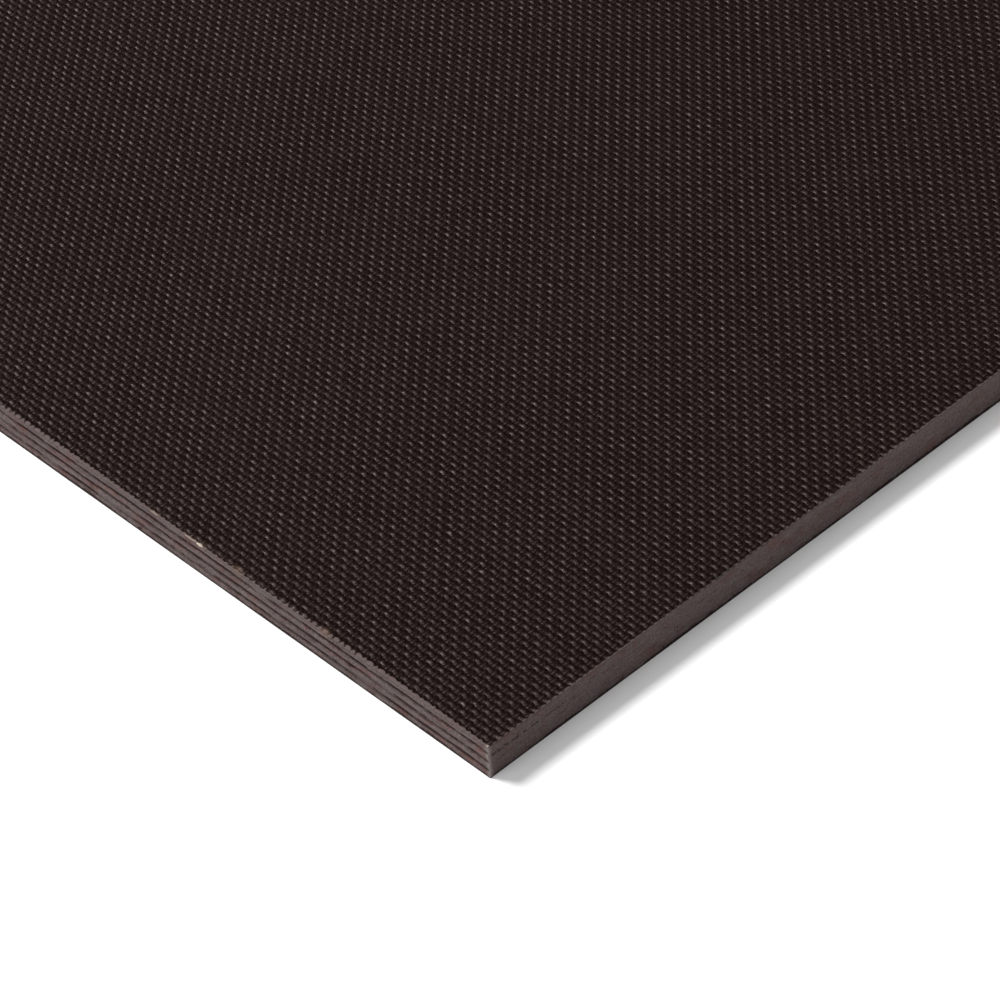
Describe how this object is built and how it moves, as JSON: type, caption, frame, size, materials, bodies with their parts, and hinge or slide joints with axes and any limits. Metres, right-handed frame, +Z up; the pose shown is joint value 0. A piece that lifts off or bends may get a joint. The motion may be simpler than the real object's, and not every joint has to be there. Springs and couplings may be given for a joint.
{
  "type": "anti-slip film-faced plywood sheet",
  "caption": "Rectangular sheet of cross-banded birch plywood with a pressed wire-mesh anti-slip film on top, a smooth film below and sealed edges.",
  "frame": {"origin": "middle of the sheet's underside, at z = 0", "axes": "+X along the length and the face grain, +Y along the width, +Z up out of the anti-slip face"},
  "size_m": [1, 0.5, 0.0095],
  "materials": {
    "antislip_film": "satin phenolic film, pressed wire-mesh pattern",
    "backing_film": "smooth satin phenolic film",
    "sealed_long_grain": "birch veneer edge, thin brown edge-sealing paint",
    "sealed_end_grain": "birch end grain, soaked brown edge-sealing paint"
  },
  "bodies": {
    "root": {"backing_film": "backing_film", "long_veneer_1": "sealed_long_grain", "cross_veneer_2": "sealed_end_grain", "long_veneer_3": "sealed_long_grain", "cross_veneer_4": "sealed_end_grain", "long_veneer_5": "sealed_long_grain", "cross_veneer_6": "sealed_end_grain", "long_veneer_7": "sealed_long_grain", "antislip_film": "antislip_film"}
  },
  "joints": []
}
